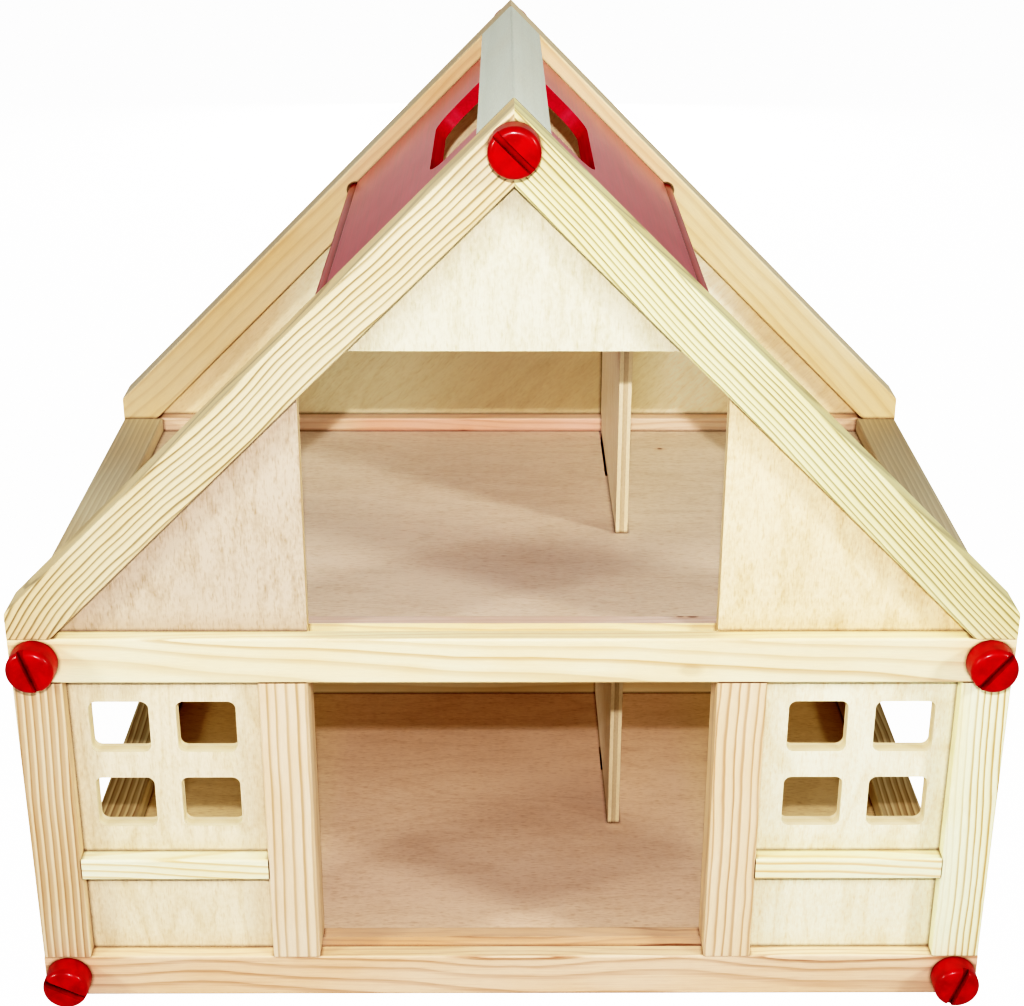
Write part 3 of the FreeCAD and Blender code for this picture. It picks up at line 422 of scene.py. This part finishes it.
# rear frame
give("rear_left_rafter", pine("pine_rear_left_rafter", "rear_left_rafter", up_left, FRONT, pith=(48, 30), pitch=4.0, slope=(0.02, 0.0), wander=5, strength=0.62, light=(236, 212, 168), dark=(192, 152, 104), seed=9.0, profile="soft", side=(0.90, 0.98, 1.10)))
give("rear_right_rafter", pine("pine_rear_right_rafter", "rear_right_rafter", up_right, FRONT, pith=(-44, 34), pitch=4.2, slope=(0.02, 0.0), wander=5, strength=0.60, light=(244, 226, 190), dark=(200, 166, 116), seed=10.0, profile="soft", side=(0.90, 0.98, 1.10)))
give("rear_left_post", pine("pine_rear_left_post", "rear_left_post", Z, Y, pith=(52, 12), pitch=3.0, wander=4, strength=0.75, dark=(186, 148, 100), seed=11.0))
give("rear_right_post", pine("pine_rear_right_post", "rear_right_post", Z, Y, pith=(-70, 10), pitch=2.7, wander=4, strength=0.75, dark=(186, 148, 100), seed=12.0))
# painted light and shade: its colour steps at two places along its length
give("rear_middle_beam", pine("pine_rear_middle_beam", "rear_middle_beam", X, FRONT, pith=(40, 12), pitch=3.2, slope=(0.01, 0.0), wander=5, strength=0.68, light=(244, 214, 178), dark=(196, 146, 98), seed=13.0, profile="soft", knots=((-24, 2, 1.9, 0.75),), painted_shading=((X, -86, -72, (1.053, 0.893, 0.909)), (X, 44, 56, (0.95, 1.12, 1.10)))))
give("rear_bottom_beam", pine("pine_rear_bottom_beam", "rear_bottom_beam", X, FRONT, pith=(12, 48), pitch=3.6, wander=6, strength=0.6, seed=14.0, profile="soft"))
# beams front to back
# painted shade: the base and eave beams' greyer, darker pine stands for their upward faces taking less of the front
# light
give("left_base_beam", pine("pine_left_base_beam", "left_base_beam", Y, Z, pith=(62, 8), pitch=3.2, slope=(0.01, 0.0), wander=3, strength=0.95, light=(206, 194, 164), dark=(136, 106, 74), seed=15.0, profile="broad", uneven=0.4))
give("right_base_beam", pine("pine_right_base_beam", "right_base_beam", Y, Z, pith=(-58, 8), pitch=3.0, slope=(0.01, 0.0), wander=3, strength=0.95, light=(206, 194, 164), dark=(140, 110, 76), seed=16.0, profile="broad", uneven=0.4))
give("left_eave_beam", pine("pine_left_eave_beam", "left_eave_beam", Y, Z, pith=(72, 8), pitch=2.5, slope=(0.01, 0.0), wander=2.5, wobble=0.4, strength=0.70, light=(204, 194, 168), dark=(172, 158, 128), seed=17.0, profile="broad", uneven=0.4))
give("right_eave_beam", pine("pine_right_eave_beam", "right_eave_beam", Y, Z, pith=(-62, 8), pitch=2.5, slope=(0.01, 0.0), wander=2.5, wobble=0.4, strength=0.70, light=(206, 196, 170), dark=(172, 158, 128), seed=18.0, profile="broad", uneven=0.4))
# painted shade and sheen: the ridge's grey-green colours stand for the dim, glossy look of its upward faces
give("ridge_beam", pine("pine_ridge_beam", "ridge_beam", Y, Vector((-1, 0, 1)), pith=(30, 70), pitch=5.5, slope=(0.0, 0.01), wander=5, strength=0.30, light=(212, 216, 202), dark=(178, 184, 164), seed=19.0, profile="soft", warm=0.12))
# small pine pieces
give("left_window_rail", pine("pine_left_window_rail", "left_window_rail", X, FRONT, pith=(30, 14), pitch=3.0, slope=(0.04, 0.0), wander=4, strength=0.75, light=(252, 242, 214), dark=(204, 168, 116), seed=20.0))
give("right_window_rail", pine("pine_right_window_rail", "right_window_rail", X, FRONT, pith=(-30, 16), pitch=3.2, slope=(0.03, 0.0), wander=4, strength=0.80, light=(252, 240, 210), dark=(212, 158, 104), seed=21.0))
for k, n in enumerate(("left_front_flap_stop", "left_rear_flap_stop", "right_front_flap_stop", "right_rear_flap_stop")):
    give(n, pine("pine_" + n, n, Y, up_left if "left" in n else up_right, pith=(20, 9), pitch=2.6, wander=1, strength=0.7, seed=22.0 + k))
# plywood
give("left_window_panel", ply("ply_left_window_panel", "left_window_panel", Z, FRONT, light=(242, 232, 208), dark=(198, 174, 134), seed=31.0, figure=0.20, fleck=0.35, recess_shade=0.35, edge_light=(250, 240, 215), edge_dark=(240, 225, 190)))
give("right_window_panel", ply("ply_right_window_panel", "right_window_panel", Z, FRONT, light=(244, 234, 210), dark=(202, 178, 136), seed=32.0, figure=0.20, fleck=0.35, recess_shade=0.35, edge_light=(250, 240, 215), edge_dark=(240, 225, 190)))
give("left_gable_panel", ply("ply_left_gable_panel", "left_gable_panel", Z, FRONT, light=(240, 226, 208), dark=(190, 164, 134), seed=33.0, figure=0.20, fleck=0.6, mottled=0.8, recess_shade=0.5))
give("right_gable_panel", ply("ply_right_gable_panel", "right_gable_panel", Z, FRONT, light=(248, 236, 214), dark=(202, 176, 142), seed=34.0, figure=0.20, fleck=0.5, mottled=0.8, recess_shade=0.5))
give("gable_peak_panel", ply("ply_gable_peak_panel", "gable_peak_panel", Z, FRONT, light=(248, 242, 228), dark=(200, 186, 156), seed=35.0, figure=0.16, fleck=0.4, mottled=0.8, recess_shade=0.75))
# painted light and shade: lighter and darker stretches across its width
give("rear_gable_panel", ply("ply_rear_gable_panel", "rear_gable_panel", X + Z, FRONT, light=(234, 214, 168), dark=(204, 176, 124), seed=36.0, figure=0.15, fleck=0.35, mottled=0.4, painted_shading=((X, -60, -10, (0.87, 0.81, 0.76)), (X, 60, 85, (1.30, 1.40, 1.62)), (X, -98, -125, (0.98, 0.87, 0.82)), (X, 100, 125, (0.92, 0.82, 0.72))), outside=((238, 224, 198), (212, 188, 154))))
give("rear_wall_panel", ply("ply_rear_wall_panel", "rear_wall_panel", X, FRONT, light=(226, 200, 158), dark=(196, 162, 112), seed=37.0, figure=0.2, fleck=0.6, outside=((238, 224, 198), (212, 188, 154))))
give("partition_wall", ply("ply_partition_wall", "partition_wall", Z, X, light=(232, 212, 176), dark=(208, 178, 134), seed=38.0, figure=0.15, fleck=0.5, thick=5.5, edge_light=(236, 222, 196), edge_dark=(176, 154, 126)))
give("upper_floor", ply("ply_upper_floor", "upper_floor", X, Z, light=(228, 206, 174), dark=(190, 160, 124), seed=39.0, figure=0.12, fleck=0.55, mottled=0.38, knots=((76, 84, 0.9, 0.8),), outside=((238, 224, 198), (212, 188, 154))))
# painted light and shade: darker towards the rear, lighter at the front, olive towards the sides
give("ground_floor", ply("ply_ground_floor", "ground_floor", X, Z, light=(214, 180, 142), dark=(172, 132, 94), seed=40.0, figure=0.12, fleck=0.55, mottled=0.38, painted_shading=((Y, -50, 90, (0.86, 0.79, 0.72)), (Y, -70, -100, (1.06, 1.09, 1.07)), (X, -84, -128, (1.0, 1.05, 0.86)), (X, 84, 128, (1.0, 1.05, 0.86))), outside=((238, 224, 198), (212, 188, 154))))
# red pieces
# partly stain, partly painted sheen: the flaps' red is pushed towards mauve for the white glare on the lacquer
give("left_roof_flap", lacquer("red_left_roof_flap", "left_roof_flap", Y, Vector((-1, 0, 1)), seed=51.0, body=(192, 28, 64), deep=(164, 16, 46), coat=1.0, coat_rough=0.30, rough0=0.34, faces_only=True))
give("right_roof_flap", lacquer("red_right_roof_flap", "right_roof_flap", Y, Vector((1, 0, 1)), seed=52.0, body=(192, 28, 64), deep=(164, 16, 46), coat=1.0, coat_rough=0.30, rough0=0.34, faces_only=True))
give("left_flap_dowel", lacquer("red_left_flap_dowel", "left_flap_dowel", Y, Vector((-1, 0, 1)), seed=53.0, grain=0.7))
give("right_flap_dowel", lacquer("red_right_flap_dowel", "right_flap_dowel", Y, Vector((1, 0, 1)), seed=54.0, grain=0.7))
for k, n in enumerate(sorted(n for n in NODES if n.endswith("_screw"))):
    give(n, screw_red("red_" + n, n, 1.0 + k))

# ------------------------------------------------------------------ stage
me = bpy.data.meshes.new("floor")
bm = bmesh.new()
bmesh.ops.create_grid(bm, x_segments=1, y_segments=1, size=6.0)
bm.to_mesh(me)
bm.free()
floor = bpy.data.objects.new("studio_floor", me)
bpy.context.scene.collection.objects.link(floor)
floor.location.z = -0.0004
T = Tree("studio_floor")
P = T.tc.outputs["Object"]
T.finish(T.mix(T.noise(P, 2.0, 2.0), (0.50, 0.50, 0.495, 1.0), (0.53, 0.53, 0.525, 1.0)), 0.9, None, 0.1, seam=0.0)
lp = T.t.nodes.new("ShaderNodeLightPath")
glow = T.t.nodes.new("ShaderNodeEmission")
# painted shade: the glow stops over the house's footprint, so the floor beneath the house shows dark
under = [T.span(T.math("ABSOLUTE", T.dot(P, d)), h - 0.02, h + 0.02, 0.0, 1.0) for d, h in (((1, 0, 0), 0.18), ((0, 1, 0), 0.10))]
open_floor = T.math("MAXIMUM", under[0], under[1])
T.put(T.math("MULTIPLY", T.math("MULTIPLY_ADD", lp.outputs["Is Camera Ray"], 1.7, 0.10), open_floor), glow.inputs["Strength"])
both = T.t.nodes.new("ShaderNodeAddShader")
T.t.links.new(T.bsdf.outputs[0], both.inputs[0])
T.t.links.new(glow.outputs[0], both.inputs[1])
T.t.links.new(both.outputs[0], T.out.inputs[0])
me.materials.append(T.mat)

# a white backdrop, bright where it is seen or mirrored, with a low fill from it
world = bpy.data.worlds.new("studio")
bpy.context.scene.world = world
world.use_nodes = True
wt = world.node_tree
bg = wt.nodes["Background"]
lp = wt.nodes.new("ShaderNodeLightPath")
tint = wt.nodes.new("ShaderNodeMix")
tint.data_type = "RGBA"
wt.links.new(lp.outputs["Is Camera Ray"], tint.inputs[0])
tint.inputs[6].default_value = (1.0, 0.95, 0.88, 1.0)
tint.inputs[7].default_value = (1.0, 1.0, 1.0, 1.0)
wt.links.new(tint.outputs[2], bg.inputs[0])
m1 = wt.nodes.new("ShaderNodeMath")
m1.operation = "MULTIPLY_ADD"
wt.links.new(lp.outputs["Is Camera Ray"], m1.inputs[0])
m1.inputs[1].default_value, m1.inputs[2].default_value = 3.2, 0.25
m2 = wt.nodes.new("ShaderNodeMath")
m2.operation = "MULTIPLY_ADD"
wt.links.new(lp.outputs["Is Glossy Ray"], m2.inputs[0])
m2.inputs[1].default_value = 0.50
wt.links.new(m1.outputs[0], m2.inputs[2])
wt.links.new(m2.outputs[0], bg.inputs[1])


def area(name, at, to, size, power, colour=(1.0, 1.0, 1.0)):
    d = bpy.data.lights.new(name, "AREA")
    d.shape = "DISK"
    d.size = size
    d.energy = power
    d.color = colour
    o = bpy.data.objects.new(name, d)
    bpy.context.scene.collection.objects.link(o)
    o.location = at
    o.rotation_mode = "QUATERNION"
    o.rotation_quaternion = (Vector(to) - Vector(at)).to_track_quat("-Z", "Y")
    return o


target = Vector((0.0, 0.0, 0.16))
d_left = Vector((1.80, 1.0, -0.74))
d_right = Vector((-1.55, 1.0, -0.80))
area("left_box", target - d_left.normalized() * 1.9, target, 0.26, 12.0, (1.0, 0.985, 0.92))
area("right_box", target - d_right.normalized() * 1.9, target, 0.26, 13.6, (1.0, 0.985, 0.92))
area("front_lamp", Vector((-0.005, -0.744, 0.601)) * 1.0, (0.0, -0.05, 0.14), 0.014, 4.6, (1.0, 0.965, 1.0))
# Lights only the rear faces, which the front lights don't reach
rear_fill = area("rear_fill", Vector((0.0, 1.75, 0.24)), (0.0, 0.1, 0.19), 0.5, 13.0, (1.0, 0.985, 0.94))
rear_fill.visible_camera = rear_fill.visible_glossy = False

# ----------------------------------------------------------------- camera
cam_data = bpy.data.cameras.new("camera")
cam = bpy.data.objects.new("camera", cam_data)
bpy.context.scene.collection.objects.link(cam)
f_px, pitch, yaw, roll = 1766.83, math.radians(22.119), math.radians(0.389), math.radians(0.154)
cy = 431.25
fwd = Vector((math.sin(yaw) * math.cos(pitch), math.cos(yaw) * math.cos(pitch), -math.sin(pitch)))
right = Vector((math.cos(yaw), -math.sin(yaw), 0.0))
upv = right.cross(fwd)
right, upv = right * math.cos(roll) + upv * math.sin(roll), upv * math.cos(roll) - right * math.sin(roll)
rot = Matrix((right, upv, -fwd)).transposed()
cam.matrix_world = Matrix.Translation((-0.00474, -0.74432, 0.51329)) @ rot.to_4x4()
cam_data.sensor_fit = "HORIZONTAL"
cam_data.sensor_width = 36.0
cam_data.lens = f_px / 1024 * 36.0
cam_data.shift_y = (cy - 503.0) / 1024.0
cam_data.clip_start, cam_data.clip_end = 0.01, 50.0
bpy.context.scene.camera = cam

view = bpy.context.scene.view_settings
view.view_transform = "Standard"
view.look = "None"
view.exposure = 0.0
view.gamma = 1.0
# a studio exposure: deep shade and a long shoulder
view.use_curve_mapping = True
cm = view.curve_mapping
cm.clip_max_x, cm.clip_max_y = 4.0, 1.0
cm.extend = "EXTRAPOLATED"
curve = cm.curves[3]
points = [(0.0, 0.0), (0.05, 0.001), (0.1, 0.012), (0.2, 0.095), (0.3, 0.215), (0.4, 0.345), (0.55, 0.515), (0.8, 0.715), (1.1, 0.85), (1.5, 0.94), (2.0, 0.985), (2.5, 1.0), (4.0, 1.0)]
curve.points[0].location = points[0]
curve.points[1].location = points[-1]
for p in points[1:-1]:
    curve.points.new(*p)
cm.update()
